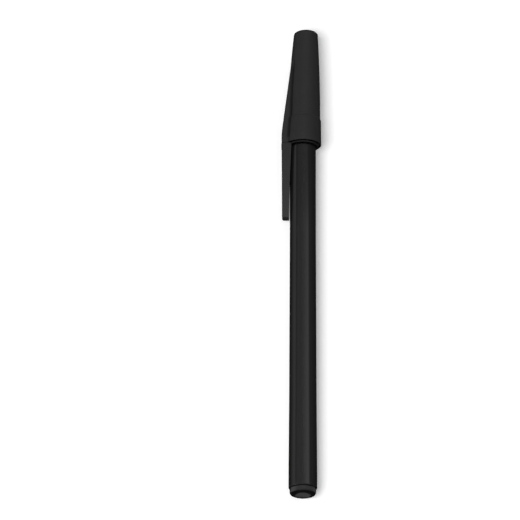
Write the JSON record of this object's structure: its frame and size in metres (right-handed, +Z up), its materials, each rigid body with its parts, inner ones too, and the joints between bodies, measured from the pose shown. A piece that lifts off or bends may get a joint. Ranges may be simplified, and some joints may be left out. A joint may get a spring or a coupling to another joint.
{
  "type": "stick ballpoint pen",
  "caption": "Capped stick ballpoint pen: a pull-off cap with a moulded clip, a round slightly flared barrel, a dished end plug, and a refill whose ball rolls in a metal point.",
  "frame": {"origin": "on the table under the middle of the lying pen", "axes": "+Z up; +Y along the lying pen towards the cap, tilted up by under one degree because the cap's band is thicker than the barrel's rear; the clip points to -X and down, with its shoulder on the table"},
  "size_m": [0.0124, 0.1464, 0.011],
  "materials": {
    "cap_plastic": "satin",
    "barrel_plastic": "gloss",
    "plug_plastic": "satin",
    "nose_plastic": "gloss",
    "point_brass": "polished",
    "ball_metal": "polished",
    "tube_plastic": "satin",
    "ink": "gloss"
  },
  "bodies": {
    "pen": {"barrel": "barrel_plastic", "end_plug": "plug_plastic", "nose_cone": "nose_plastic", "writing_point": "point_brass", "ink_tube": "tube_plastic", "ink_column": "ink"},
    "cap": {"cap": "cap_plastic"},
    "ball": {"ball": "ball_metal"}
  },
  "joints": [
    {"name": "cap_pull", "type": "slide", "parent": "pen", "child": "cap", "axis": [0, 0.9999, 0.0118], "range_m": [0, 0.065]},
    {"name": "ball_roll", "type": "hinge", "parent": "pen", "child": "ball", "pos_m": [0.00074, 0.0677, 0.00586], "axis": [0.9008, -0.0051, 0.4342], "continuous": true}
  ]
}
